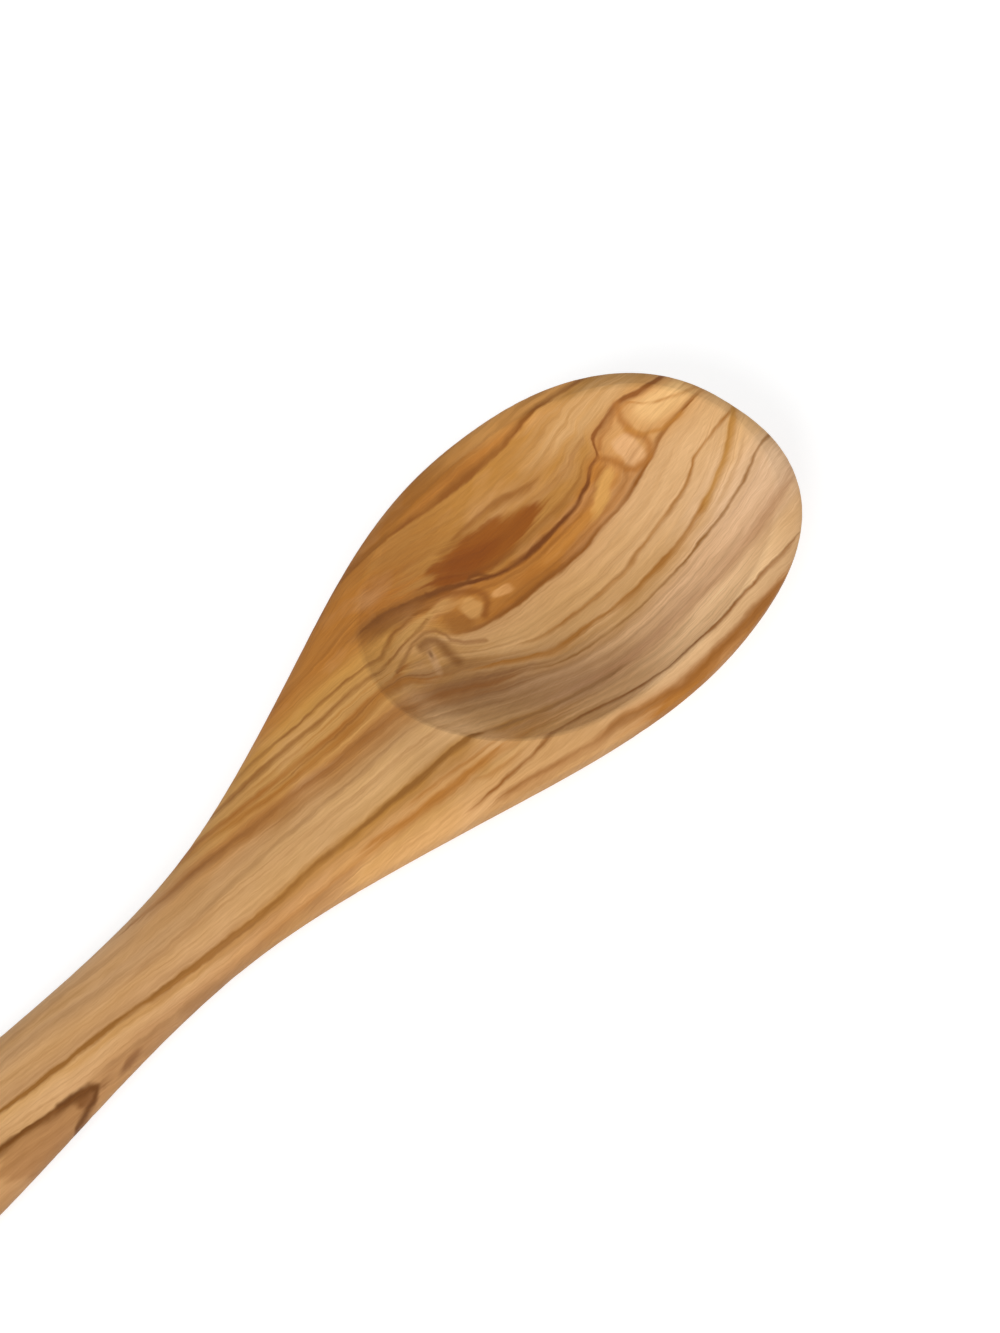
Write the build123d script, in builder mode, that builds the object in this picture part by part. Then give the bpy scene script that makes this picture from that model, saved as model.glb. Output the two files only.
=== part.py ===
from build123d import *
import os
from math import atan2, cos, sin, sqrt

# A cooking spoon carved from one plank of olive wood: a straight flat-topped handle that widens
# through the neck into an egg-shaped bowl, hollowed above and domed below.
# Every length is in millimetres. Distances along the spoon are measured back from the tip, and
# depths down from the rim plane, which the rim, the neck and the handle's top share.

# Plan
overall_length = 305.0
tip_to_widest = 45.6
widest_to_neck = 104.0
grip_to_end = 32.0
bowl_width = 63.5
neck_width = 18.4
grip_width = 24.5
tip_squareness = 2.5
end_squareness = 2.5
end_top_squareness = 5.0
end_under_squareness = 3.2

# Side view
belly_depth = 17.0
neck_thickness = 11.8
grip_thickness = 10.6
nose_depth = 1.8

# Depth of the widest line of the side wall
bowl_side_depth = 3.2

# Hollow. Its cross-sections are the lower ends of ellipses centred above the rim plane, and the
# rim land is left between its edge and the outside where the bowl is widest
hollow_to_tip = 2.7
hollow_length = 81.4
hollow_depth = 13.0
hollow_centre_height = 10.0
hollow_edge_radius = 1.1
rim_land = 3.85

# Fullness of a cross-section's corners: a larger share gives a squarer corner
nose_top_share = 0.56
bowl_top_share = 0.82
handle_top_share = 0.74
bowl_under_share = 0.56
handle_under_share = 0.66
side_share = 0.55

# From the tip to the widest place. Shares of tip_to_widest, of nose_depth for the top, of
# the way from nose_depth to the belly's depth, and of the way to the full bowl section
front_station_shares = (0.0015, 0.008, 0.03, 0.08, 0.16, 0.28, 0.45, 0.70, 1.0)
front_top_shares = (0.72, 0.38, 0.05, 0.0, 0.0, 0.0, 0.0, 0.0, 0.0)
front_depth_shares = (0.035, 0.085, 0.165, 0.28, 0.42, 0.585, 0.755, 0.945, 1.0)
front_section_shares = (0.0, 0.05, 0.20, 0.45, 0.68, 0.86, 0.96, 1.0, 1.0)
# From there to the neck. Shares of widest_to_neck, of the way from the neck's width to the
# bowl's, and of the way from the neck's thickness to the belly's depth
flank_station_shares = (0.17, 0.39, 0.60, 0.81, 1.0)
flank_width_shares = (0.885, 0.580, 0.273, 0.052, 0.0)
flank_depth_shares = (0.86, 0.63, 0.36, 0.12, 0.0)
# From the neck to the grip's widest place. Shares of the distance and of the way between widths
grip_station_shares = (0.30, 0.65, 1.0)
grip_width_shares = (0.60, 0.88, 1.0)
# From there to the end: shares of grip_to_end, measured forward from the end
end_station_shares = (0.72, 0.48, 0.28, 0.13, 0.045, 0.012, 0.0015)
rest_share = 0.45
# Shares of overall_length at which the surface is divided into bands
band_shares = (0.06, 0.20, 0.33, 0.49, 0.70, 0.95)
# Shares of hollow_length from its front, of hollow_depth and of half the hollow's width
hollow_station_shares = (-0.05, 0.04, 0.10, 0.20, 0.35, 0.54, 0.72, 0.84, 0.94, 1.05)
hollow_depth_shares = (-0.22, 0.17, 0.39, 0.66, 0.90, 1.00, 0.90, 0.66, 0.31, -0.26)
hollow_width_shares = (0.76, 0.81, 0.86, 0.93, 0.99, 1.00, 0.96, 0.86, 0.67, 0.42)

bowl_half = bowl_width / 2
neck_half = neck_width / 2
grip_half = grip_width / 2
neck_station = tip_to_widest + widest_to_neck
grip_station = overall_length - grip_to_end

# Half the ellipse's width, where it is widest above the rim plane
ellipse_share = hollow_centre_height / (hollow_centre_height + hollow_depth)
hollow_half = (bowl_half - rim_land) / sqrt(1 - ellipse_share**2)


def between(start, finish, share):
    """The value a share of the way from start to finish."""
    return start + (finish - start) * share


def rounded(share, squareness):
    """How wide a rounded end is, as a share, at a share of the way back from its nose."""
    return (1 - (1 - share) ** squareness) ** (1 / squareness)


# The spoon rests on its belly and under the end of its grip, so the rim plane tilts a little
rest_station = overall_length - grip_to_end * rest_share
rest_depth = grip_thickness / 2 * (1 + rounded(rest_share, end_under_squareness))
tilt = atan2(belly_depth - rest_depth, rest_station - tip_to_widest)
rim_plane = Plane(
    origin=(
        overall_length / 2 * cos(tilt),
        0,
        belly_depth / cos(tilt) + tip_to_widest * sin(tilt),
    ),
    x_dir=(cos(tilt), 0, sin(tilt)),
    z_dir=(-sin(tilt), 0, cos(tilt)),
)


def across(distance):
    """The cross-section plane at a distance from the tip: its x is sideways and its y is up."""
    return Plane(
        origin=rim_plane.from_local_coords((-distance, 0, 0)),
        x_dir=(0, 1, 0),
        z_dir=rim_plane.x_dir,
    )


# Each cross-section: distance from the tip, half width, depth of its top, of its widest line and
# of its underside, and the shares that round its upper and lower corners
sections = []
for station_share, top_share, depth_share, section_share in zip(
    front_station_shares, front_top_shares, front_depth_shares, front_section_shares
):
    sections.append(
        (
            tip_to_widest * station_share,
            bowl_half * rounded(station_share, tip_squareness),
            nose_depth * top_share,
            between(nose_depth, bowl_side_depth, section_share),
            between(nose_depth, belly_depth, depth_share),
            between(nose_top_share, bowl_top_share, section_share),
            bowl_under_share,
        )
    )
for station_share, width_share, depth_share in zip(
    flank_station_shares, flank_width_shares, flank_depth_shares
):
    sections.append(
        (
            tip_to_widest + widest_to_neck * station_share,
            between(neck_half, bowl_half, width_share),
            0,
            between(neck_thickness / 2, bowl_side_depth, width_share),
            between(neck_thickness, belly_depth, depth_share),
            between(handle_top_share, bowl_top_share, width_share),
            between(handle_under_share, bowl_under_share, width_share),
        )
    )
for station_share, width_share in zip(grip_station_shares, grip_width_shares):
    thickness = between(neck_thickness, grip_thickness, station_share)
    sections.append(
        (
            between(neck_station, grip_station, station_share),
            between(neck_half, grip_half, width_share),
            0,
            thickness / 2,
            thickness,
            handle_top_share,
            handle_under_share,
        )
    )
for share in end_station_shares:
    sections.append(
        (
            overall_length - grip_to_end * share,
            grip_half * rounded(share, end_squareness),
            grip_thickness / 2 * (1 - rounded(share, end_top_squareness)),
            grip_thickness / 2,
            grip_thickness / 2 * (1 + rounded(share, end_under_squareness)),
            handle_top_share,
            handle_under_share,
        )
    )

# Each cross-section is four curves that meet at its widest points, its top and its underside
section_faces = []
for distance, half, top, side, under, top_share, under_share in sections:
    with BuildLine(across(distance)) as outline:
        Bezier(
            (half, -side),
            (half, -between(side, top, side_share)),
            (half * top_share, -top),
            (0, -top),
        )
        Bezier(
            (half, -side),
            (half, -between(side, under, side_share)),
            (half * under_share, -under),
            (0, -under),
        )
        mirror(about=Plane.XZ)
    section_faces.append(make_face(outline.edges()))

with BuildPart() as carving:
    # The blank
    loft(section_faces, clean=False)

    # The hollow
    for station_share, depth_share, width_share in zip(
        hollow_station_shares, hollow_depth_shares, hollow_width_shares
    ):
        with BuildSketch(across(hollow_to_tip + hollow_length * station_share)):
            with Locations((0, hollow_centre_height)):
                Ellipse(
                    hollow_half * width_share,
                    hollow_centre_height + hollow_depth * depth_share,
                )
    loft(clean=False, mode=Mode.SUBTRACT)

    # Its edge is rounded on both sides; the cut's other new edges lie on the centre line
    rim_edges = carving.edges(Select.LAST).filter_by(lambda edge: abs(edge.center().Y) > rim_land)
    fillet(rim_edges, hollow_edge_radius)

    # Bands across the surface, so that it is curved evenly from one to the next
    for share in band_shares:
        split(bisect_by=across(overall_length * share), keep=Keep.BOTH)

# The spoon is one piece of wood, with the bands only as lines on it
with BuildPart() as spoon:
    add(carving.solids(), clean=False)
spoon.part.label = "spoon"

os.makedirs("parts", exist_ok=True)
export_step(spoon.part, "parts/spoon.step")
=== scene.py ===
"""An olive-wood cooking spoon on a plain white studio floor.

The spoon is the frame's own solid. Its looks are a solid texture: the lines of the grain are
drawn once, as places across the spoon at places along it, and every colour follows them, save a
few patches of painted shade and painted light in and around the heel of the hollow. The part of
the handle that the photograph doesn't show goes on in the same way.
Lengths in the grain's drawing are in millimetres, in the frame's axes.
"""

import math

import bpy
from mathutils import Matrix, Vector

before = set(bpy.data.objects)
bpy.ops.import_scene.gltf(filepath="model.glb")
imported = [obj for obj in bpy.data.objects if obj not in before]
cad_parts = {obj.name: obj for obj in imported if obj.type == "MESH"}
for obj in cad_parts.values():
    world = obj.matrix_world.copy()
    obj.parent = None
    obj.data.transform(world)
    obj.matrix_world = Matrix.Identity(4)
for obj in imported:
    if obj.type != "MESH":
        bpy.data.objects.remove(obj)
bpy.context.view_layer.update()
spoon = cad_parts["spoon"]

# The photograph's view, in degrees and metres, and its lens in millimetres
VIEW_AZIMUTH = -49.728
VIEW_ELEVATION = 52.408
VIEW_DISTANCE = 0.9
VIEW_TARGET = Vector((0.086337, -0.0048155, 0.014))
SENSOR = 36.0
LENS = 148.63

# The light: two lamps, in degrees, metres and watts, a white world and a white floor
KEY_AZIMUTH = -68.0
KEY_ELEVATION = 27.0
KEY_POWER = 14.6
FILL_AZIMUTH = 48.0
FILL_ELEVATION = 32.0
FILL_POWER = 3.4
LAMP_DISTANCE = 1.3
LAMP_SIZE = 0.9
WORLD_STRENGTH = 0.48
FLOOR_SIZE = 8.0
FLOOR_GREY = 0.7
FLOOR_LIFT = 0.55
WHITE = (1, 1, 1, 1)

# The grain's frame: the rim plane's height at the tip and its slope, and how far the grain leans
# across the spoon for each millimetre below that plane
MM = 1000.0
RIM_TIP = 152.44
RIM_TIP_HEIGHT = 18.19
RIM_SLOPE = 0.027
LEAN = 0.35

# Where the drawn lines end, how much of their curves is for the part behind the bowl, and the
# places across that the curves' own ends stand for
END = -155.0
NECK = 66.0
TIP = 154.0
NECK_SHARE = 0.3
ACROSS_LOW = -60.0
ACROSS_HIGH = 80.0

# Colours of the wood, as sRGB values out of 255
PALE = (207, 161, 105)
CREAM = (216, 172, 124)
TAN = (196, 149, 96)
HONEY = (178, 124, 54)
GOLD = (204, 150, 82)
OLIVE = (176, 124, 58)
ORANGE = (172, 108, 38)
RUST = (168, 106, 36)
UMBER = (170, 108, 38)
BROWN = (140, 84, 26)
DARK = (112, 60, 14)
MAUVE = (196, 150, 108)
SHADE = (150, 106, 62)

# Lines that the grain follows: the grain's value on the line, and the line's places along and
# across the spoon
FLOW_LINES = (
    (34, ((-155, 75), (-20, 40), (0, 36), (40, 34), (100, 40), (154, 38))),
    (
        20,
        (
            (-155, 60), (-20, 32), (0, 26), (20, 21), (40, 18.5), (60, 20), (75, 24), (85, 26),
            (94, 25.9), (105, 24.7), (120, 23.8), (126, 24), (130, 24.4), (135, 23.6), (140, 22.9),
            (154, 21.5),
        ),
    ),
    (
        8,
        (
            (-155, 52), (-20, 26), (0, 20), (20, 16), (30, 14.6), (50, 15.6), (60, 16.4),
            (70, 15.8), (80, 16.4), (85, 16.0), (90, 14.8), (95, 13.4), (98, 12.5), (100, 11.4),
            (102, 10.3), (104.3, 9.1), (106.6, 8.1), (110, 7.5), (115, 7.0), (120, 7.0), (124, 7.3),
            (127, 8.0), (128.7, 8.7), (130, 9.9), (131.4, 10.6), (133, 10.8), (133.6, 12.0),
            (134.6, 13.6), (137, 14.1), (140.5, 14.9), (142.4, 14.4), (144.6, 13.3), (147, 12.8),
            (154, 12.3),
        ),
    ),
    (
        1,
        (
            (-155, 44), (-20, 20), (0, 14.5), (20, 12), (30, 11.2), (44, 10.4), (56, 9.8),
            (69, 8.8), (75, 8.7), (80, 9.3), (84, 9.8), (87, 9.6), (89, 8.0), (90.5, 6.3),
            (92.7, 4.6), (95, 3.5), (98.4, 2.6), (102, 2.0), (106.5, 1.5), (111, 1.1), (116, 0.6),
            (120, 0.5), (125, 0.9), (130, 1.3), (134, 2.1), (137, 3.2), (139.5, 3.8), (142, 4.9),
            (146, 5.2), (154, 4.4),
        ),
    ),
    (
        -7,
        (
            (-155, 36), (-20, 14.5), (0, 10.5), (20, 8.3), (30, 7.2), (38, 6.4), (44, 5.4),
            (50, 5.1), (60, 4.9), (70, 5.1), (76, 4.6), (80, 2.2), (83.5, 0.6), (86.5, -0.6),
            (89, -2.0), (92, -3.7), (95, -5.6), (98, -7.5), (100, -8.7), (104, -9.6), (110, -10.2),
            (115, -11), (120, -11.3), (126, -11.3), (130, -10.9), (134, -10.1), (137, -9.4),
            (140.5, -8.2), (144, -6.5), (146.2, -5.0), (149.5, -2.5), (154, -0.5),
        ),
    ),
    (
        -10.2,
        (
            (-155, 28.5), (-20, 9.5), (0, 6.9), (20, 5.6), (25, 5.2), (30, 4.8),
            (40, 3.6), (50, 2.3), (55, 1.9), (60, 1.7), (65, 1.1), (70, 0.4), (75, -0.4),
            (80, -1.8), (84, -3.6), (87, -5.2), (91, -6.9), (95, -8.9), (97.4, -10.5),
            (100, -11.6), (104, -12.8), (110, -13.9), (116, -14.5), (121, -14.6), (126, -14.5),
            (130, -13.9), (135, -13.5), (139.5, -12.6), (144, -11.3), (148, -9.9), (154, -9.2),
        ),
    ),
    (
        -19.7,
        (
            (-155, 15), (-100, 8), (-60, 2.5), (-29, -1.4), (-20, -2.8), (-10, -3.9), (0, -5.1),
            (10, -6.4), (20, -7.6), (30, -8.3), (40, -8.8), (50, -9.6), (60, -10.4), (70, -11.1),
            (75, -12.0), (80, -13.4), (85, -15), (90, -16.7), (95, -18.2), (102, -20.1),
            (106.5, -21.2), (111, -21.6), (118, -21.4), (124, -21.4), (130, -21), (135, -20.1),
            (144, -18.7), (154, -17),
        ),
    ),
    (
        -27.7,
        (
            (-155, 7), (-100, 0), (-60, -5.5), (-32, -9), (0, -12.8), (30, -15.3), (50, -18.5),
            (60, -20), (66, -20.6), (70, -20.9), (76, -21), (82, -21), (86, -21.6), (90, -22.4),
            (94, -23.8), (98, -25.3), (101, -26.2), (104, -27), (110, -27.4), (116, -27.6),
            (121, -27.4), (127, -27.1), (135, -26.7), (154, -25.5),
        ),
    ),
    (
        -30.7,
        (
            (-155, 0), (-100, -6), (-60, -10), (-32, -12), (0, -15), (50, -20.5), (60, -22),
            (70, -23.3), (76, -24.7), (84, -27), (91, -27.9), (94.4, -29), (98.4, -30.1),
            (104, -31), (111, -31), (118, -30.8), (128, -30.1), (154, -28),
        ),
    ),
    (-45, ((-155, -22), (0, -32), (60, -37), (100, -45), (154, -42))),
)

# Broad bands of colour: the grain's value where each colour stands
BOWL_BANDS = (
    (34, UMBER), (21, UMBER), (19.6, HONEY), (14, HONEY), (9.5, OLIVE), (7.8, ORANGE),
    (4.5, (184, 122, 50)), (1.4, ORANGE), (0.6, TAN), (-2, PALE), (-9.5, PALE), (-11.5, TAN),
    (-13, CREAM), (-15.5, CREAM), (-18.5, MAUVE), (-20.6, CREAM), (-24, (214, 168, 116)),
    (-29.6, CREAM), (-30.8, RUST), (-45, HONEY),
)
NECK_BANDS = (
    (34, UMBER), (10, (184, 118, 44)), (7, (188, 126, 54)), (4.8, (202, 146, 70)),
    (0, (200, 148, 82)), (-5.2, (194, 142, 76)), (-6.6, (184, 128, 60)), (-8, GOLD),
    (-9.3, (172, 114, 54)), (-10.8, (182, 126, 64)), (-12.3, (190, 140, 84)), (-13.3, TAN),
    (-14.6, PALE), (-18.6, PALE), (-19.5, HONEY), (-20.4, HONEY), (-21.4, (194, 142, 84)),
    (-23, (198, 146, 86)), (-24, (182, 126, 62)), (-25.2, (196, 146, 84)), (-27, (206, 156, 98)),
    (-31, TAN), (-45, HONEY),
)
HANDLE_BANDS = (
    (20, TAN), (8, HONEY), (-2, PALE), (-10, (206, 160, 112)), (-13, TAN), (-14, (204, 160, 112)),
    (-17, TAN), (-19, (192, 146, 98)), (-20.6, (202, 154, 96)), (-22, (204, 158, 106)),
    (-26, (182, 136, 86)), (-28, (186, 138, 84)), (-30, PALE), (-33, TAN), (-35, HONEY),
    (-37, PALE), (-39.5, CREAM), (-41, OLIVE), (-42.5, TAN), (-45, PALE),
)

# Veins drawn over the bands: the grain's value on the vein or the vein's own places along and
# across, how wide it is above and below, colour, strength, and the places along the spoon between
# which it shows
VEINS = (
    # The far side of the bowl
    (20, 0.9, 0.35, BROWN, 1.1, (70, 146)),
    (22.6, 0.4, 0.7, BROWN, 0.35, (80, 140)),
    (17.6, 0.35, 0.6, OLIVE, 0.55, (84, 150)),
    (15.4, 0.3, 0.5, OLIVE, 0.4, (96, 150)),
    (13.2, 0.3, 0.6, OLIVE, 0.45, (112, 150)),
    (
        ((96, 17.4), (103.5, 18.2), (108, 18.5), (113, 18.1), (118, 17.0), (123, 15.9)),
        0.5, 0.9, BROWN, 0.8, (98, 124),
    ),
    (((110, 15.7), (118, 14.3), (126, 13.1), (133, 14.8)), 0.3, 0.6, BROWN, 0.3, (112, 134)),
    # The heart band
    (8, 0.36, 0.48, DARK, 1.5, (88, 134)),
    (8, 0.4, 0.6, (130, 78, 26), 1.1, (75, 98)),
    (8, 0.3, 0.5, (136, 80, 28), 1.4, (129, 156)),
    (9.7, 0.25, 0.4, BROWN, 0.55, (94, 132)),
    (6.4, 0.3, 0.5, BROWN, 0.6, (100, 134)),
    (2.6, 0.35, 0.7, BROWN, 0.5, (100, 138)),
    (1, 0.6, 0.3, BROWN, 1.1, (89, 152)),
    (
        ((141.8, 13.6), (144, 11.2), (146.5, 9.0), (149.5, 7.2), (152, 6.4)),
        0.25, 0.4, RUST, 0.6, (141, 155),
    ),
    # Under the heart band
    (
        (
            (94, -3), (103, -5.9), (110, -6.9), (116, -7.3), (120, -7.4), (125, -6.8), (130, -6.1),
            (135, -5.3), (138.5, -4.1), (140.6, -2.8), (142, -1.7), (145, -1.3), (152, -1.3),
        ),
        0.3, 0.5, (164, 110, 50), 1.0, (98, 154),
    ),
    (
        ((96, 1.2), (104, -1.2), (112, -2.4), (122, -2.6), (132, -1.6), (140, 1.2), (148, 2.6)),
        0.3, 0.5, TAN, 0.4, (98, 150),
    ),
    (((108, -4.0), (118, -4.9), (128, -4.4), (136, -2.6)), 0.2, 0.4, TAN, 0.6, (108, 138)),
    (-7, 0.35, 0.75, (168, 112, 48), 1.1, (88, 156)),
    (-7, 0.6, 1.1, (190, 138, 66), 0.7, (134, 156)),
    (-8.6, 0.25, 0.4, OLIVE, 0.4, (96, 150)),
    (-10.2, 0.22, 0.34, (152, 104, 52), 1.0, (92, 156)),
    (-12.4, 0.25, 0.4, SHADE, 0.25, (84, 150)),
    (-14.6, 0.5, 1.0, SHADE, 0.3, (72, 132)),
    (-17.0, 0.4, 0.9, SHADE, 0.3, (72, 136)),
    (-19.7, 0.9, 0.9, (172, 120, 76), 0.5, (96, 150)),
    (-19.7, 0.35, 0.8, SHADE, 0.85, (72, 104)),
    (-21.6, 0.4, 0.9, SHADE, 0.4, (74, 120)),
    (-24.2, 0.5, 1.1, SHADE, 0.25, (80, 112)),
    (-27.7, 0.26, 0.4, BROWN, 0.95, (60, 140)),
    (-30.7, 0.55, 0.8, BROWN, 0.8, (64, 132)),
    # The neck
    (-10.2, 0.45, 1.1, (146, 92, 40), 0.8, (8, 94)),
    (-11.9, 0.25, 0.6, (150, 98, 48), 0.5, (34, 92)),
    (-19.7, 0.45, 0.6, (146, 96, 38), 1.4, (-160, 76)),
    (-21.0, 0.3, 0.6, OLIVE, 0.5, (-20, 76)),
    (12, 0.5, 0.9, BROWN, 0.4, (52, 80)),
    (
        (
            (36, 12.8), (46, 12.5), (56, 12.0), (66, 11.6), (75, 10.8), (79, 11.9), (83, 12.7),
            (88, 12.7), (93, 12.1),
        ),
        0.3, 0.5, BROWN, 0.8, (38, 95),
    ),
    (1, 0.35, 0.55, BROWN, 0.9, (30, 76)),
    (-1.6, 0.2, 0.35, RUST, 0.6, (40, 80)),
    (
        (
            (26, 8.9), (34, 8.2), (40, 7.6), (50, 6.8), (60, 6.2), (69, 6.1), (75, 6.2), (80, 7.0),
            (83, 7.8),
        ),
        0.4, 0.7, (160, 98, 32), 0.9, (22, 84),
    ),
    (-7, 0.45, 0.8, RUST, 0.85, (30, 84)),
    (-5.6, 0.2, 0.4, BROWN, 0.5, (44, 82)),
    (
        ((44, -12.6), (50, -13.5), (55, -14.6), (60, -14.9), (65, -15.5), (71, -16.1), (78, -17)),
        0.5, 0.9, RUST, 0.85, (44, 78),
    ),
    (
        ((56, -12.6), (60, -13.0), (66, -13.6), (72, -14.6), (78, -15.8)),
        0.25, 0.4, RUST, 0.65, (54, 78),
    ),
    (((60, -17.2), (68, -18.3), (76, -19.2)), 0.25, 0.5, (170, 112, 48), 0.6, (60, 78)),
    (
        (
            (0, -0.2), (6, -0.5), (12, -1.1), (25, -0.8), (35, -1.1), (44, -1.8), (54, -2.3),
            (62, -2.8), (78, -5.6), (88, -9.4),
        ),
        0.25, 0.6, SHADE, 0.5, (2, 90),
    ),
    (-15.8, 0.25, 0.5, TAN, 0.7, (10, 84)),
    # Into the pale eye beside the knot
    (
        (
            (72, 8.9), (76.2, 9.1), (79.5, 9.5), (83, 10.1), (86.2, 10.3), (88.8, 10.6),
            (91.5, 10.8), (94.2, 10.4), (96.5, 9.2),
        ),
        0.25, 0.45, BROWN, 0.75, (72, 96),
    ),
    # The handle
    (
        ((-60, 9.0), (-34, 5.0), (-23, 4.2), (-16, 3.7), (-8, 2.8), (2, 1.6)),
        0.35, 0.8, SHADE, 0.4, (-60, 2),
    ),
    (((-40, 7.4), (-20, 6.6), (-4, 5.6), (12, 4.2)), 0.25, 0.6, SHADE, 0.3, (-40, 12)),
    (
        (
            (-70, -1.0), (-34, -6.3), (-30.5, -6.4), (-27, -6.8), (-24, -7.5), (-20.5, -8.0),
            (-17.8, -8.5), (-16, -9.2), (-14.6, -10),
        ),
        0.35, 0.75, (108, 62, 8), 1.4, (-74, -9),
    ),
    (
        ((-60, -13), (-24, -12.4), (0, -11), (15, -12), (30, -13.5), (44, -15)),
        3.2, 4.0, (160, 112, 70), 0.6, (-80, 44),
    ),
    (-24.5, 0.3, 0.8, SHADE, 0.5, (-14, 40)),
    (-34.5, 0.4, 0.9, BROWN, 0.6, (-160, -50)),
    (-38.2, 0.4, 0.9, BROWN, 0.5, (-160, -80)),
    (-23.2, 0.3, 0.7, OLIVE, 0.6, (-160, -44)),
)

# Strokes, which may turn back: their places along and across, half width, colour, strength
STROKES = (
    (
        (
            (-22, -7.6), (-18.5, -8.4), (-16.2, -8.9), (-15.2, -9.8), (-16.5, -10.9),
            (-18.8, -11.6), (-21.5, -12.4),
        ),
        0.6, (98, 54, 4), 0.95,
    ),
    (
        ((141.0, 14.6), (139.8, 12.5), (139.4, 9.2), (140.2, 6.9), (139.8, 5.2), (138.4, 3.8)),
        0.6, (168, 108, 46), 0.8,
    ),
    (
        ((132.8, 10.4), (134.1, 8.4), (134.5, 6.6), (134.4, 5.2), (135.4, 3.9), (138.0, 3.7)),
        0.55, (164, 104, 42), 0.8,
    ),
    (((139.4, 10.6), (140.4, 7.6), (142.8, 5.6), (146.0, 5.2)), 0.45, (178, 118, 46), 0.7),
    (((134.0, 11.6), (135.4, 12.6), (137.6, 12.8), (139.4, 13.8)), 0.4, (150, 92, 36), 0.55),
    (
        ((95.7, 12.6), (98.6, 10.6), (100.6, 8.8), (101.2, 7.2), (100.5, 5.6), (98.2, 4.5)),
        0.8, (140, 80, 22), 0.75,
    ),
    (
        (
            (93.3, 14.2), (95.7, 13.2), (98.4, 12.0), (100.4, 11.2), (101.8, 11.5), (103.1, 10.9),
            (104.2, 9.4),
        ),
        0.4, (118, 66, 18), 0.85,
    ),
    (
        ((84.4, 7.6), (86.4, 7.7), (87.7, 6.9), (87.9, 5.4), (87.3, 3.6), (87.3, 1.6)),
        1.0, (126, 76, 26), 0.75,
    ),
    (
        (
            (76, 6.6), (80, 7.7), (84, 9.0), (87, 9.2), (89.2, 8.2), (90.0, 6.5), (89.9, 5.0),
            (91.4, 3.2), (94.4, 1.0),
        ),
        0.45, (140, 88, 40), 0.6,
    ),
)

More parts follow.
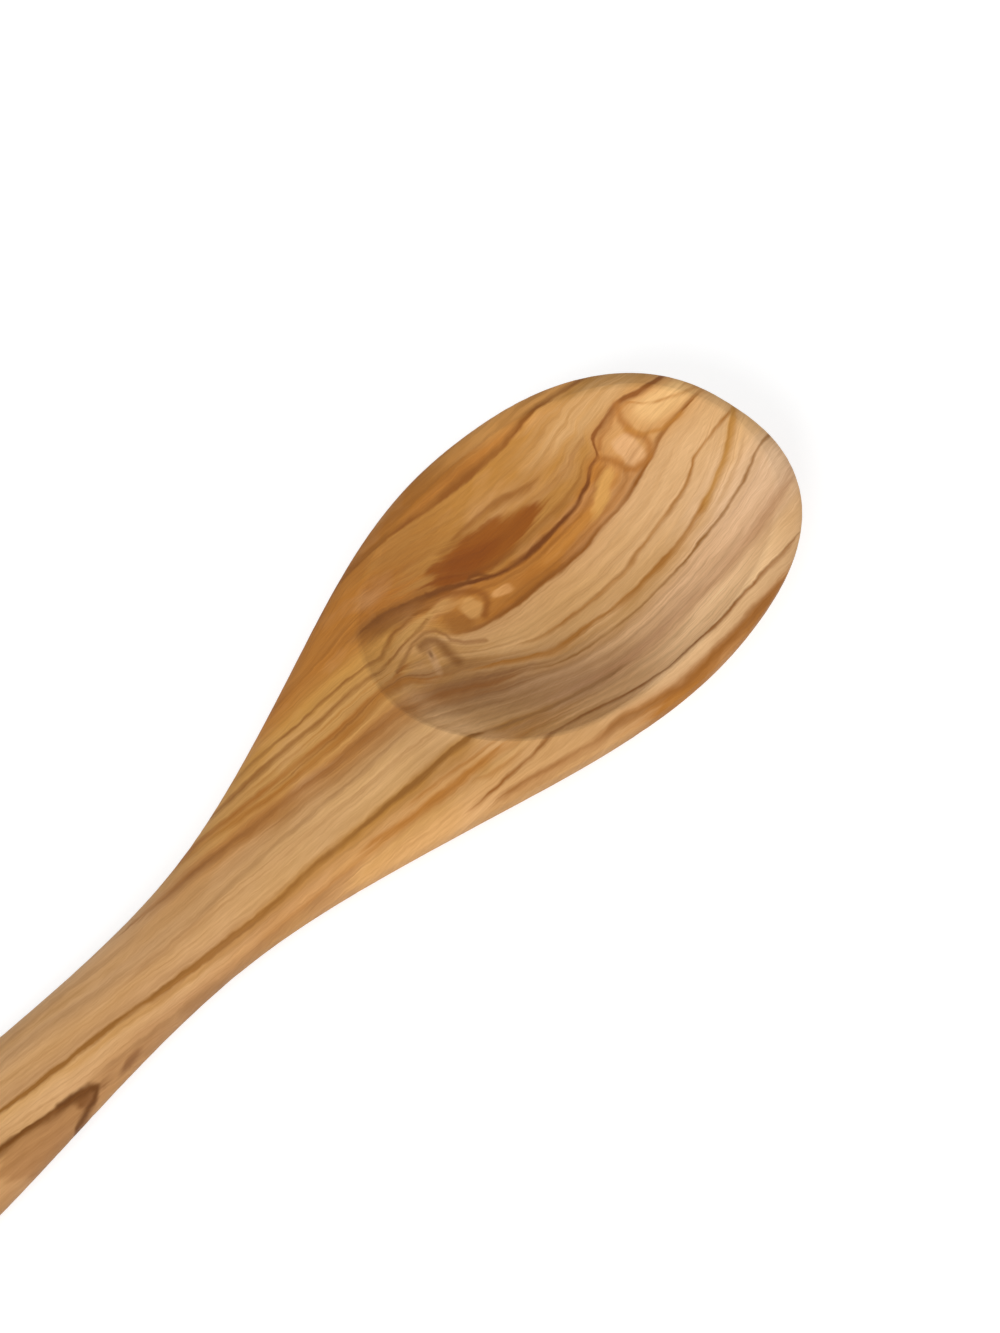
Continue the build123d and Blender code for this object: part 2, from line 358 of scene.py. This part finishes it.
# Patches: middle along and across, half length and half width, turn in degrees, how square the
# patch is, how far its edge fades, how much the grain and the wood's unevenness fray it, colour,
# strength
PATCHES = (
    (136, 18.2, 14, 4.0, -6, 2, 0.7, 0.3, 0.1, (212, 168, 114), 0.7),
    (132, 26.6, 20, 3.7, -6, 2, 0.6, 0.3, 0.1, (222, 160, 86), 0.8),
    (96, 21.8, 12, 3.2, -2, 2, 0.7, 0.3, 0.1, (156, 100, 38), 0.5),
    (85, 14.6, 12, 2.2, -8, 2, 0.7, 0.3, 0.1, (130, 76, 22), 0.7),
    (142, -13, 13, 8, 4, 2, 0.7, 0.3, 0.1, (232, 194, 156), 0.7),
    (138, -3, 17, 9, 8, 2, 0.8, 0.3, 0.1, (220, 178, 130), 0.55),
    (119, -24.4, 18, 3.9, 4, 2, 0.7, 0.3, 0.1, (255, 212, 160), 0.9),
    (143.5, 9.4, 10.5, 5.6, -6, 3, 0.4, 0.15, 0.1, (204, 152, 92), 0.85),
    # Painted light and painted shade at the hollow's heel: paler wood just inside its edge and
    # darker wood on the neck just before it, softening the step in shading there
    (73.5, -7, 4.5, 13, 0, 2, 0.9, 0.2, 0.1, (240, 196, 144), 0.45),
    (65, -5, 5.5, 13, 0, 2, 0.95, 0.2, 0.1, (150, 106, 62), 0.2),
    (22, -2, 26, 6, -6, 2, 0.9, 0.3, 0.1, (172, 124, 76), 0.25),
    # Painted shade: darker wood where the hollow's heel and near wall behind it lie in shade
    (95, -13, 14, 8, -22, 2, 0.9, 0.3, 0.1, (146, 104, 66), 0.5),
    (84, -3.5, 12, 8, -28, 2, 0.9, 0.3, 0.1, (134, 96, 62), 0.6),
    (128, -18, 16, 5, 4, 2, 0.8, 0.3, 0.1, (234, 190, 146), 0.7),
    (107.2, 13.4, 12.4, 3.6, -8, 2, 0.22, 0.26, 0.1, (140, 76, 10), 0.95),
    (103.5, 13.6, 6.5, 2.4, -4, 2, 0.5, 0.3, 0.2, (128, 62, 4), 0.5),
    (87, 10.9, 10.5, 0.9, 0, 2, 0.5, 0.3, 0.2, (206, 156, 88), 0.8),
    (93.8, 6.6, 3.4, 2.6, 0, 2, 0.5, 0.2, 0.3, (158, 100, 38), 0.8),
    (97.6, 7.3, 2.1, 2.5, 14, 2.6, 0.35, 0.1, 0.2, (206, 152, 86), 0.92),
    (94.2, 10.2, 3.8, 1.1, -16, 2, 0.5, 0.2, 0.3, (196, 144, 82), 0.75),
    (104.1, 5.4, 2.4, 1.0, -22, 2.5, 0.35, 0.15, 0.3, (216, 158, 94), 0.92),
    (109, 4.4, 6.0, 1.5, -8, 2, 0.7, 0.3, 0.3, (158, 92, 22), 0.5),
    (128.9, 5.4, 5.2, 1.4, 27, 2.5, 0.35, 0.2, 0.4, (206, 152, 80), 0.9),
    (137.2, 7.5, 1.9, 3.1, -8, 4, 0.3, 0.05, 0.12, (214, 164, 112), 0.9),
    (146.5, 9.0, 5.4, 2.8, -14, 3, 0.5, 0.15, 0.2, (230, 184, 122), 0.85),
    (83.9, 4.2, 3.2, 1.0, 56, 2, 0.6, 0.1, 0.2, (200, 154, 104), 0.9),
    (84.6, 5.4, 0.9, 0.45, 55, 2, 0.8, 0.1, 0.3, (120, 76, 36), 0.7),
    (80.5, 3.6, 4.2, 2.4, 20, 2, 0.6, 0.4, 0.3, (184, 140, 96), 0.4),
    (-26.5, -10.4, 11.0, 3.8, -8, 2.4, 0.15, 0.2, 0.1, (166, 118, 68), 0.85),
    (-17.7, -9.9, 2.6, 1.5, -20, 2, 0.4, 0.1, 0.1, (108, 60, 4), 0.95),
    (-7.8, -10.6, 3.2, 0.8, 6, 2, 0.6, 0.2, 0.2, (114, 68, 26), 0.9),
    (-120, 2, 26, 5, -8, 2, 0.6, 0.5, 0.3, (186, 136, 76), 0.6),
)

# The grain's noises: their spacings along, across and in depth, their detail and roughness. The
# first three make the lines wander, mottle is a slow unevenness, rings are thin growth lines and
# flecks the dark dots of pores
SLOW = (17.0, 6.0, 14.0, 2.0, 0.5)
QUICK = (5.0, 2.2, 9.0, 2.0, 0.5)
FINE = (1.8, 0.9, 4.0, 2.0, 0.5)
STREAK = (70.0, 1.5, 30.0, 3.0, 0.6)
MOTTLE = (14.0, 4.5, 20.0, 3.0, 0.5)
SWELL = (13.0, 2.6, 20.0, 2.0, 0.5)
FADING = (9.0, 3.5, 20.0, 2.0, 0.5)
RING = (95.0, 1.7, 40.0, 1.5, 0.55)
FIBRE = (26.0, 0.42, 5.0, 3.0, 0.65)
FLECK = (3.6, 0.2, 2.0, 2.0, 0.5)

# What is made of a noise: a low and a high value of it, and what each becomes. In order: three
# wanders in mm, how far along the spoon streaks carry the ends of bands and veins, shares of the
# mottle's two tints, how patches fray, how veins thicken and fade, strength of growth lines, the
# tones of streaks, fibres and flecks, and the roughness of fibres
SLOW_WANDER = (0, 1, -0.8, 0.8)
QUICK_WANDER = (0, 1, -0.35, 0.35)
FINE_WANDER = (0, 1, -0.22, 0.22)
RAGGEDNESS = (0, 1, -14, 14)
MOTTLE_PALE_SHARE = (0.5, 0.75, 0, 0.3)
MOTTLE_DEEP_SHARE = (0.5, 0.25, 0, 0.25)
FRAYING = (0.2, 0.8, -1, 1)
SWELLING = (0.25, 0.75, 0.6, 1.45)
FADEDNESS = (0.3, 0.6, 0.55, 1.0)
RING_STRENGTH = (0.35, 0.7, 0.04, 0.24)
STREAK_TONE = (0.25, 0.75, 0.89, 1.1)
FIBRE_TONE = (0.25, 0.75, 0.89, 1.09)
FLECK_TONE = (0.3, 0.7, 0.94, 1.05)
FIBRE_ROUGHNESS = (0.3, 0.7, 0.58, 0.7)

# Where along the spoon the handle's bands give way to the neck's, and the neck's to the bowl's
HANDLE_TO_NECK = (2, 34)
NECK_TO_BOWL = (84, 98)

# The mottle's tints, half the width of a growth line in its noise, and how much more than the
# red the green and the blue follow the tone
MOTTLE_PALE = (224, 178, 130)
MOTTLE_DEEP = (184, 134, 76)
RING_HALF_WIDTH = 0.035
GREEN_POWER = 1.2
BLUE_POWER = 1.6

# How many times its width a vein or a stroke takes to fade out, how long a vein takes to begin
# and end, and a distance beyond every stroke
SOFTNESS = 1.9
VEIN_END = 5.0
FAR = 1000.0

# The oiled surface
SPECULAR = 0.22
BUMP_STRENGTH = 0.12
BUMP_DISTANCE = 0.0002


def linear(colour):
    """An sRGB colour out of 255 as linear RGBA."""
    shares = [c / 255 for c in colour]
    return [s / 12.92 if s <= 0.04045 else ((s + 0.055) / 1.055) ** 2.4 for s in shares] + [1.0]


class Graph:
    """Short calls that add nodes to one node tree.

    Cycles holds only so many values at a time for one material. So each node is added after those
    that feed it, and held() does what the clamp options of math and range nodes would do.
    """

    def __init__(self, tree):
        self.tree = tree

    def add(self, kind, **settings):
        node = self.tree.nodes.new(kind)
        for name, value in settings.items():
            setattr(node, name, value)
        return node

    def put(self, value, socket):
        """Links a socket to an input, or sets the input's own value."""
        if isinstance(value, bpy.types.NodeSocket):
            self.tree.links.new(value, socket)
        else:
            socket.default_value = value

    def math(self, operation, *values):
        node = self.add("ShaderNodeMath", operation=operation)
        for value, socket in zip(values, node.inputs):
            self.put(value, socket)
        return node.outputs[0]

    def held(self, value, low, high):
        """The value kept between low and high."""
        return self.math("MAXIMUM", self.math("MINIMUM", value, high), low)

    def ranged(self, value, low, high, out_low=0.0, out_high=1.0, smooth=False):
        """The value carried from one range to another, and held at the ends of the other."""
        node = self.add("ShaderNodeMapRange", clamp=False)
        if smooth:
            node.interpolation_type = "SMOOTHSTEP"
        for given, name in (
            (value, "Value"),
            (low, "From Min"),
            (high, "From Max"),
            (out_low, "To Min"),
            (out_high, "To Max"),
        ):
            self.put(given, node.inputs[name])
        if smooth:
            return node.outputs[0]
        return self.held(node.outputs[0], min(out_low, out_high), max(out_low, out_high))

    def vector(self, x, y, z=0.0):
        node = self.add("ShaderNodeCombineXYZ")
        for value, socket in zip((x, y, z), node.inputs):
            self.put(value, socket)
        return node.outputs[0]

    def vectors(self, operation, first, second=None):
        node = self.add("ShaderNodeVectorMath", operation=operation)
        self.put(first, node.inputs[0])
        if second is not None:
            self.put(second, node.inputs[1])
        return node.outputs["Value" if operation in ("LENGTH", "DOT_PRODUCT") else "Vector"]

    def scaled(self, vector, share):
        node = self.add("ShaderNodeVectorMath", operation="SCALE")
        self.put(vector, node.inputs[0])
        self.put(share, node.inputs["Scale"])
        return node.outputs["Vector"]

    def noise(self, along, across, height, grain):
        """One of the grain's noises, from 0 to 1."""
        spacing_along, spacing_across, spacing_deep, detail, roughness = grain
        place = self.vector(
            self.math("DIVIDE", along, spacing_along),
            self.math("DIVIDE", across, spacing_across),
            self.math("DIVIDE", height, spacing_deep),
        )
        node = self.add("ShaderNodeTexNoise")
        self.put(place, node.inputs["Vector"])
        node.inputs["Scale"].default_value = 1.0
        node.inputs["Detail"].default_value = detail
        node.inputs["Roughness"].default_value = roughness
        return node.outputs[0]

    def mix(self, share, below, above, blend="MIX"):
        """The colour above laid over the one below."""
        node = self.add("ShaderNodeMix", data_type="RGBA", blend_type=blend, clamp_factor=True)
        self.put(share, node.inputs[0])
        self.put(below, node.inputs[6])
        self.put(above, node.inputs[7])
        return node.outputs[2]

    def bands(self, value, stops):
        """Colours that stand at the grain's values and blend between them."""
        stops = sorted(stops)
        low, high = stops[0][0], stops[-1][0]
        place_on_ramp = self.ranged(value, low, high)
        node = self.add("ShaderNodeValToRGB")
        ramp = node.color_ramp
        for number, (place, colour) in enumerate(stops):
            share = (place - low) / (high - low)
            if number in (0, len(stops) - 1):
                element = ramp.elements[0 if number == 0 else -1]
                element.position = share
            else:
                element = ramp.elements.new(share)
            element.color = linear(colour)
        self.put(place_on_ramp, node.inputs[0])
        return node.outputs[0]

    def call(self, tree, **values):
        """Adds a group and gives its inputs their values."""
        node = self.add("ShaderNodeGroup", node_tree=tree)
        for name, value in values.items():
            self.put(value, node.inputs[name])
        return node.outputs[0]


def new_group(name, **inputs):
    """A group of nodes with one output: its tree, and its inputs by name."""
    tree = bpy.data.node_groups.new(name, "ShaderNodeTree")
    for label, kind in inputs.items():
        tree.interface.new_socket(label, in_out="INPUT", socket_type="NodeSocket" + kind)
    return tree, tree.nodes.new("NodeGroupInput").outputs


def give(tree, kind, socket):
    """Makes the socket the group's output."""
    tree.interface.new_socket("result", in_out="OUTPUT", socket_type="NodeSocket" + kind)
    tree.links.new(socket, tree.nodes.new("NodeGroupOutput").inputs[0])
    return tree


def vein_group():
    """One vein over the colour so far."""
    tree, got = new_group(
        "vein",
        colour="Color",
        tint="Color",
        offset="Float",
        swell="Float",
        fading="Float",
        along="Float",
        over="Float",
        under="Float",
        start="Float",
        finish="Float",
        strength="Float",
    )
    g = Graph(tree)
    offset = g.math("DIVIDE", got["offset"], got["swell"])
    above = g.ranged(offset, got["over"], 0, smooth=True)
    below = g.ranged(offset, got["under"], 0, smooth=True)
    body = g.math("MULTIPLY", above, below)
    from_start = g.math("SUBTRACT", got["along"], got["start"])
    begun = g.ranged(from_start, 0, VEIN_END, 0, got["fading"], smooth=True)
    to_finish = g.math("SUBTRACT", got["finish"], got["along"])
    ended = g.ranged(to_finish, 0, VEIN_END, 0, got["strength"], smooth=True)
    shown = g.math("MULTIPLY", begun, ended)
    return give(tree, "Color", g.mix(g.math("MULTIPLY", body, shown), got["colour"], got["tint"]))


def patch_group():
    """One patch over the colour so far."""
    tree, got = new_group(
        "patch",
        colour="Color",
        tint="Color",
        here="Vector",
        middle="Vector",
        size="Vector",
        turn="Float",
        square="Float",
        streak="Float",
        uneven="Float",
        fray="Float",
        lumps="Float",
        outer="Float",
        inner="Float",
        strength="Float",
    )
    g = Graph(tree)
    offset = g.vectors("SUBTRACT", got["here"], got["middle"])
    turned = g.add("ShaderNodeVectorRotate", rotation_type="Z_AXIS")
    g.put(offset, turned.inputs["Vector"])
    g.put(got["turn"], turned.inputs["Angle"])
    offset = g.vectors("ABSOLUTE", g.vectors("DIVIDE", turned.outputs[0], got["size"]))
    shares = g.add("ShaderNodeSeparateXYZ")
    g.put(offset, shares.inputs[0])
    p, q = (g.math("POWER", share, got["square"]) for share in shares.outputs[:2])
    reach = g.math("POWER", g.math("ADD", p, q), g.math("DIVIDE", 1.0, got["square"]))
    reach = g.math("MULTIPLY_ADD", got["streak"], got["fray"], reach)
    reach = g.math("MULTIPLY_ADD", got["uneven"], got["lumps"], reach)
    share = g.ranged(reach, got["outer"], got["inner"], 0, got["strength"], smooth=True)
    return give(tree, "Color", g.mix(share, got["colour"], got["tint"]))


def segment_group():
    """How near a place is to a stroke, with one more of its segments."""
    tree, got = new_group("segment", nearest="Float", here="Vector", start="Vector", way="Vector")
    g = Graph(tree)
    offset = g.vectors("SUBTRACT", got["here"], got["start"])
    length = g.vectors("DOT_PRODUCT", got["way"], got["way"])
    part = g.held(g.math("DIVIDE", g.vectors("DOT_PRODUCT", offset, got["way"]), length), 0.0, 1.0)
    gap = g.vectors("LENGTH", g.vectors("SUBTRACT", offset, g.scaled(got["way"], part)))
    return give(tree, "Float", g.math("MINIMUM", got["nearest"], gap))


def station(along):
    """A place along the spoon as a share of the lines' length, with most of it for the bowl."""
    if along < NECK:
        return NECK_SHARE * (along - END) / (NECK - END)
    return NECK_SHARE + (1 - NECK_SHARE) * (along - NECK) / (TIP - NECK)


def drawn_line(g, share, points):
    """The place across the spoon of a line through these points, where share says along it."""
    places = [
        (station(min(max(along, END), TIP)), (across - ACROSS_LOW) / (ACROSS_HIGH - ACROSS_LOW))
        for along, across in points
    ]
    if places[0][0] > 0:
        places.insert(0, (0.0, places[0][1]))
    if places[-1][0] < 1:
        places.append((1.0, places[-1][1]))
    node = g.add("ShaderNodeFloatCurve")
    curve = node.mapping.curves[0]
    curve.points[0].location = places[0]
    curve.points[-1].location = places[-1]
    for place in places[1:-1]:
        curve.points.new(*place)
    for point in curve.points:
        point.handle_type = "AUTO_CLAMPED"
    node.mapping.update()
    g.put(share, node.inputs["Value"])
    return g.math("MULTIPLY_ADD", node.outputs[0], ACROSS_HIGH - ACROSS_LOW, ACROSS_LOW)


def wood():
    """Olive wood whose grain follows FLOW_LINES."""
    material = bpy.data.materials.new("olive_wood")
    material.use_nodes = True
    tree = material.node_tree
    shader = tree.nodes["Principled BSDF"]
    g = Graph(tree)

    coordinates = g.add("ShaderNodeTexCoord")
    place = g.add("ShaderNodeSeparateXYZ")
    tree.links.new(coordinates.outputs["Object"], place.inputs[0])
    along, side, height = (g.math("MULTIPLY", out, MM) for out in place.outputs)

    rim = g.math("MULTIPLY_ADD", along, RIM_SLOPE, RIM_TIP_HEIGHT - RIM_SLOPE * RIM_TIP)
    depth = g.math("SUBTRACT", height, rim)
    across = g.math("MULTIPLY_ADD", depth, LEAN, side)

    # The lines wander a little, as grown wood does
    slow = g.noise(along, across, height, SLOW)
    quick = g.noise(along, across, height, QUICK)
    across = g.math("ADD", across, g.ranged(slow, *SLOW_WANDER))
    across = g.math("ADD", across, g.ranged(quick, *QUICK_WANDER))
    fine = g.noise(along, across, height, FINE)
    across = g.math("ADD", across, g.ranged(fine, *FINE_WANDER))
    share = g.math(
        "ADD",
        g.ranged(along, END, NECK, 0.0, NECK_SHARE),
        g.ranged(along, NECK, TIP, 0.0, 1 - NECK_SHARE),
    )

    # The grain's value here, from the lines above and below
    lines = {value: drawn_line(g, share, points) for value, points in FLOW_LINES}
    values = list(lines)
    flow = values[-1]
    for upper, lower in zip(values, values[1:]):
        part = g.ranged(across, lines[lower], lines[upper], 0.0, upper - lower)
        flow = g.math("ADD", flow, part)

    # Broad bands, which change from the bowl to the neck and from the neck to the handle
    streak = g.noise(along, flow, height, STREAK)
    ragged = g.math("ADD", along, g.ranged(streak, *RAGGEDNESS))
    colour = g.mix(
        g.ranged(ragged, *NECK_TO_BOWL, smooth=True),
        g.bands(flow, NECK_BANDS),
        g.bands(flow, BOWL_BANDS),
    )
    colour = g.mix(
        g.ranged(ragged, *HANDLE_TO_NECK, smooth=True), g.bands(flow, HANDLE_BANDS), colour
    )

    # A slow unevenness, paler here and browner there
    mottle = g.noise(along, across, height, MOTTLE)
    colour = g.mix(g.ranged(mottle, *MOTTLE_PALE_SHARE), colour, linear(MOTTLE_PALE))
    colour = g.mix(g.ranged(mottle, *MOTTLE_DEEP_SHARE), colour, linear(MOTTLE_DEEP))

    # Patches: tints of the wood, and a few of painted shade and painted light at the hollow's heel
    here = g.vector(along, across)
    patch = patch_group()
    sway = g.ranged(streak, *FRAYING)
    lump = g.ranged(quick, *FRAYING)
    for (
        middle_along,
        middle_across,
        half_length,
        half_width,
        turn,
        square,
        fade,
        fray,
        uneven,
        tint,
        strength,
    ) in PATCHES:
        colour = g.call(
            patch,
            colour=colour,
            tint=linear(tint),
            here=here,
            middle=(middle_along, middle_across, 0),
            size=(half_length, half_width, 1),
            turn=math.radians(-turn),
            square=square,
            streak=sway,
            uneven=lump,
            fray=fray,
            lumps=uneven,
            outer=1 + fade / 2,
            inner=1 - fade,
            strength=strength,
        )

    # Veins, which thicken and thin along their way
    vein = vein_group()
    swell = g.ranged(g.noise(along, flow, height, SWELL), *SWELLING)
    fading = g.ranged(g.noise(along, flow, height, FADING), *FADEDNESS)
    for line, over, under, tint, strength, (start, finish) in VEINS:
        if isinstance(line, tuple):
            offset = g.math("SUBTRACT", across, drawn_line(g, share, line))
        elif line in lines:
            offset = g.math("SUBTRACT", across, lines[line])
        else:
            offset = g.math("SUBTRACT", flow, line)
        colour = g.call(
            vein,
            colour=colour,
            tint=linear(tint),
            offset=offset,
            swell=swell,
            fading=fading,
            along=ragged,
            over=over * SOFTNESS,
            under=-under * SOFTNESS,
            start=start,
            finish=finish,
            strength=strength,
        )

    # Strokes
    segment = segment_group()
    for points, half_width, tint, strength in STROKES:
        nearest = FAR
        for start, finish in zip(points, points[1:]):
            way = (finish[0] - start[0], finish[1] - start[1], 0)
            nearest = g.call(segment, nearest=nearest, here=here, start=(*start, 0), way=way)
        nearest = g.math("DIVIDE", nearest, swell)
        body = g.ranged(nearest, half_width * SOFTNESS, 0, 0, strength, smooth=True)
        colour = g.mix(body, colour, linear(tint))

    # Growth lines: where a slow noise passes its middle value
    ring = g.noise(along, flow, height, RING)
    ring = g.math("ABSOLUTE", g.math("SUBTRACT", ring, 0.5))
    ring = g.math(
        "MULTIPLY",
        g.ranged(ring, RING_HALF_WIDTH, 0.0, smooth=True),
        g.ranged(streak, *RING_STRENGTH),
    )
    colour = g.mix(ring, colour, linear(BROWN))

    # Fibres and flecks, which darken the blue most
    fibre = g.noise(along, flow, height, FIBRE)
    fleck = g.noise(along, across, height, FLECK)
    tone = g.math(
        "MULTIPLY",
        g.ranged(streak, *STREAK_TONE),
        g.math("MULTIPLY", g.ranged(fibre, *FIBRE_TONE), g.ranged(fleck, *FLECK_TONE)),
    )
    tones = g.vector(
        tone, g.math("POWER", tone, GREEN_POWER), g.math("POWER", tone, BLUE_POWER)
    )
    colour = g.mix(1.0, colour, tones, blend="MULTIPLY")
    tree.links.new(colour, shader.inputs["Base Color"])

    # A satin oiled surface, with the fibres just to be felt
    tree.links.new(g.ranged(fibre, *FIBRE_ROUGHNESS), shader.inputs["Roughness"])
    shader.inputs["Specular IOR Level"].default_value = SPECULAR
    bump = g.add("ShaderNodeBump")
    bump.inputs["Strength"].default_value = BUMP_STRENGTH
    bump.inputs["Distance"].default_value = BUMP_DISTANCE
    tree.links.new(fibre, bump.inputs["Height"])
    tree.links.new(bump.outputs[0], shader.inputs["Normal"])
    return material


def around(azimuth, elevation, distance):
    """A place seen from the target's own at that azimuth and elevation."""
    a, e = math.radians(azimuth), math.radians(elevation)
    way = Vector((math.sin(a) * math.cos(e), -math.cos(a) * math.cos(e), math.sin(e)))
    return VIEW_TARGET + distance * way


def aim(obj):
    """Turns a camera or lamp to the target."""
    obj.rotation_euler = (VIEW_TARGET - obj.location).to_track_quat("-Z", "Y").to_euler()


def add_camera():
    data = bpy.data.cameras.new("photo_camera")
    data.sensor_width = SENSOR
    data.lens = LENS
    camera = bpy.data.objects.new("photo_camera", data)
    camera.location = around(VIEW_AZIMUTH, VIEW_ELEVATION, VIEW_DISTANCE)
    aim(camera)
    bpy.context.scene.collection.objects.link(camera)
    bpy.context.scene.camera = camera


def add_lamp(name, azimuth, elevation, power):
    """A round soft lamp."""
    data = bpy.data.lights.new(name, "AREA")
    data.shape = "DISK"
    data.size = LAMP_SIZE
    data.energy = power
    lamp = bpy.data.objects.new(name, data)
    lamp.location = around(azimuth, elevation, LAMP_DISTANCE)
    aim(lamp)
    bpy.context.scene.collection.objects.link(lamp)


def seen_directly(g):
    """1 for what the camera sees, also by reflection, and 0 for what only lights the spoon."""
    path = g.add("ShaderNodeLightPath")
    return g.math("MAXIMUM", path.outputs["Is Camera Ray"], path.outputs["Is Glossy Ray"])


def add_floor():
    """A plain white floor: its colour is lifted to white for the camera, and it keeps shadows."""
    bpy.ops.mesh.primitive_plane_add(size=FLOOR_SIZE)
    floor = bpy.context.object
    floor.name = "floor"
    material = bpy.data.materials.new("floor")
    material.use_nodes = True
    g = Graph(material.node_tree)
    material.node_tree.nodes.clear()
    diffuse = g.add("ShaderNodeBsdfDiffuse")
    diffuse.inputs["Color"].default_value = (FLOOR_GREY, FLOOR_GREY, FLOOR_GREY, 1)
    glow = g.add("ShaderNodeEmission")
    glow.inputs["Color"].default_value = WHITE
    g.put(g.math("MULTIPLY", seen_directly(g), FLOOR_LIFT), glow.inputs["Strength"])
    both = g.add("ShaderNodeAddShader")
    g.put(diffuse.outputs[0], both.inputs[0])
    g.put(glow.outputs[0], both.inputs[1])
    g.put(both.outputs[0], g.add("ShaderNodeOutputMaterial").inputs["Surface"])
    floor.data.materials.append(material)


def add_world():
    """White light from all round, and a white background for the camera."""
    world = bpy.data.worlds.new("studio")
    world.use_nodes = True
    g = Graph(world.node_tree)
    background = world.node_tree.nodes["Background"]
    background.inputs["Color"].default_value = WHITE
    g.put(g.ranged(seen_directly(g), 0, 1, WORLD_STRENGTH, 1.0), background.inputs["Strength"])
    bpy.context.scene.world = world


spoon_wood = wood()
for material_slot in spoon.material_slots:
    material_slot.material = spoon_wood

add_floor()
add_world()
add_lamp("key", KEY_AZIMUTH, KEY_ELEVATION, KEY_POWER)
add_lamp("fill", FILL_AZIMUTH, FILL_ELEVATION, FILL_POWER)
add_camera()
bpy.context.scene.view_settings.view_transform = "Standard"
